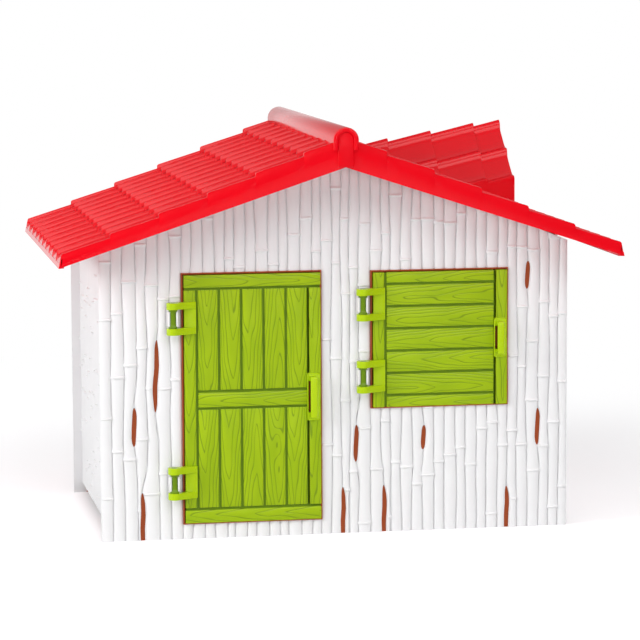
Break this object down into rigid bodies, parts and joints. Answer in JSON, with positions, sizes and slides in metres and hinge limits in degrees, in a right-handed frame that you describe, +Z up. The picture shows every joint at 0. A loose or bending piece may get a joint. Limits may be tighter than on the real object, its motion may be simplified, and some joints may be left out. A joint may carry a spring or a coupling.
{
  "type": "child's playhouse",
  "caption": "Walk-in child's playhouse with cane-textured walls, tiled gable roof, plank door and plank shutter on exposed pin hinges.",
  "frame": {"origin": "on the floor, at the middle of the house's outline seen from above", "axes": "+X along the front wall towards the window side, +Y from the front wall to the back wall, +Z up"},
  "size_m": [1.516, 1.098, 1.11],
  "materials": {
    "white_plastic": "glossy moulded plastic",
    "brown_plastic": "satin moulded plastic",
    "red_plastic": "glossy moulded plastic",
    "green_plastic": "glossy moulded plastic with wood grain",
    "light_green_plastic": "glossy moulded plastic",
    "screw_steel": "zinc plated"
  },
  "bodies": {
    "house": {"front_wall": "white_plastic", "front_liner": "brown_plastic", "back_wall": "white_plastic", "back_liner": "brown_plastic", "left_wall": "white_plastic", "left_liner": "brown_plastic", "right_wall": "white_plastic", "right_liner": "brown_plastic", "corner_angles": "brown_plastic", "corner_screws": "screw_steel", "roof_left": "red_plastic", "roof_right": "red_plastic", "rear_hood": "red_plastic", "ridge_cap": "red_plastic", "ridge_end_front": "red_plastic", "ridge_end_back": "red_plastic", "roof_brackets": "brown_plastic", "roof_screws": "screw_steel", "door_wall_clips": "white_plastic", "shutter_wall_clips": "white_plastic", "clip_screws": "white_plastic"},
    "door": {"door_leaf": "green_plastic", "door_handle": "light_green_plastic", "door_hinge_brackets": "light_green_plastic", "door_hinge_pins": "green_plastic", "door_screws": "screw_steel"},
    "shutter": {"shutter_leaf": "green_plastic", "shutter_handle": "light_green_plastic", "shutter_hinge_brackets": "light_green_plastic", "shutter_hinge_pins": "green_plastic", "shutter_screws": "screw_steel"}
  },
  "joints": [
    {"name": "door_hinge", "type": "hinge", "parent": "house", "child": "door", "pos_m": [-0.446, -0.42, 0.3795], "axis": [0, 0, -1], "range_deg": [0, 150]},
    {"name": "shutter_hinge", "type": "hinge", "parent": "house", "child": "shutter", "pos_m": [0.067, -0.42, 0.5285], "axis": [0, 0, -1], "range_deg": [0, 150]}
  ]
}
